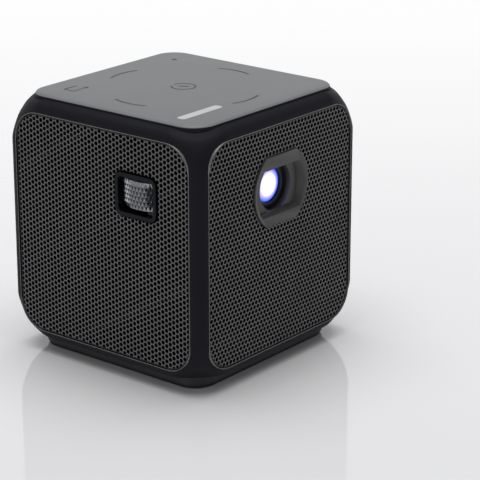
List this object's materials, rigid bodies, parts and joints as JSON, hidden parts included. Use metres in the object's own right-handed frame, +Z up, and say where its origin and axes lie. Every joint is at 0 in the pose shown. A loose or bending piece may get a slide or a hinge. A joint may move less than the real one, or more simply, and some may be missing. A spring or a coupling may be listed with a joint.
{
  "type": "pocket home projector",
  "caption": "Pocket cube projector: rounded frame with perforated metal sides, recessed lens, focus thumbwheel, touch top and sockets at the back.",
  "frame": {"origin": "middle of the rubber foot, on the table", "axes": "+Z up, -Y the way the lens throws its picture, -X the side with the focus wheel, +X the fan outlet, +Y the sockets"},
  "size_m": [0.0622, 0.0625, 0.0659],
  "materials": {
    "frame_plastic": "soft-touch paint over moulded plastic",
    "top_touch": "fine matt lacquer, dark edge",
    "grille_steel": "powder-coated perforated steel",
    "black_cloth": "woven dust cloth",
    "black_abs": "moulded, fine texture",
    "gloss_black": "polished moulding",
    "bezel_plastic": "satin moulding",
    "wheel_plastic": "knurled satin grey plastic",
    "foot_rubber": "moulded",
    "insert_brass": "turned",
    "zinc_steel": "zinc plated",
    "nickel_shell": "pressed, nickel plated",
    "deck_aluminium": "pressed sheet",
    "cast_magnesium": "die cast",
    "black_aluminium": "black anodised",
    "fin_aluminium": "extruded",
    "copper_pipe": "drawn copper",
    "optical_glass": "polished, coated",
    "board_green": "solder mask",
    "chip_black": "moulded epoxy",
    "mirror_array": "ceramic carrier with window",
    "battery_foil": "laminated pouch",
    "lamp_blue": "lamp base with clear dome",
    "lamp_red": "lamp base with clear dome",
    "lamp_green": "lamp base with clear dome",
    "clear_pipe": "clear acrylic",
    "cone_paper": "pressed paper",
    "magnet_steel": "ferrite and steel"
  },
  "bodies": {
    "housing": {"frame_shell": "frame_plastic", "top_plate": "top_touch", "touch_board": "board_green", "base_plate": "black_abs", "foot_pad": "foot_rubber", "tripod_insert": "insert_brass", "foot_screws": "zinc_steel", "board_screws": "zinc_steel", "engine_screws": "zinc_steel", "grille_front": "grille_steel", "grille_left": "grille_steel", "grille_right": "grille_steel", "grille_back": "grille_steel", "dust_cloth_front": "black_cloth", "dust_cloth_left": "black_cloth", "dust_cloth_right": "black_cloth", "dust_cloth_back": "black_cloth", "main_board": "board_green", "board_chips": "chip_black", "hdmi_socket": "nickel_shell", "usb_socket": "nickel_shell", "charge_socket": "nickel_shell", "audio_jack": "chip_black", "switch_board": "board_green", "switch_case": "chip_black", "status_light": "clear_pipe", "port_plate": "black_abs", "deck_plate": "deck_aluminium", "battery_pack": "battery_foil", "engine_housing": "cast_magnesium", "mirror_chip": "mirror_array", "chip_board": "board_green", "relay_prism": "optical_glass", "lamp_blue": "lamp_blue", "lamp_red": "lamp_red", "lamp_green": "lamp_green", "heat_sink": "fin_aluminium", "heat_pipe": "copper_pipe", "fan_housing": "black_abs", "lens_bezel": "bezel_plastic", "guide_rods": "zinc_steel", "wheel_axle": "zinc_steel", "wheel_bracket": "deck_aluminium", "focus_bezel": "gloss_black", "speaker_basket": "black_abs", "speaker_magnet": "magnet_steel"},
    "focus": {"focus_wheel": "wheel_plastic"},
    "lens": {"lens_barrel": "black_aluminium", "front_lens": "optical_glass", "rear_lens": "optical_glass", "focus_carriage": "black_abs"},
    "fan": {"fan_rotor": "black_abs"},
    "power": {"power_slider": "black_abs"},
    "cone": {"speaker_cone": "cone_paper"}
  },
  "joints": [
    {"name": "focus_turn", "type": "hinge", "parent": "housing", "child": "focus", "pos_m": [-0.0215, -0.0114, 0.0475], "axis": [0, 0, 1], "range_deg": [-24, 24]},
    {"name": "lens_slide", "type": "slide", "parent": "housing", "child": "lens", "axis": [0, 1, 0], "range_m": [-0.00125, 0.00125]},
    {"name": "fan_spin", "type": "hinge", "parent": "housing", "child": "fan", "pos_m": [0.0255, 0.01, 0.0435], "axis": [1, 0, 0], "continuous": true},
    {"name": "power_slide", "type": "slide", "parent": "housing", "child": "power", "axis": [1, 0, 0], "range_m": [0, 0.002]},
    {"name": "cone_travel", "type": "slide", "parent": "housing", "child": "cone", "axis": [1, 0, 0], "range_m": [-0.0005, 0.0005], "stiffness_N_per_m": 400}
  ],
  "couplings": [
    {"joint": "focus_turn", "follows": "lens_slide", "rad_per_m": 333.33}
  ]
}
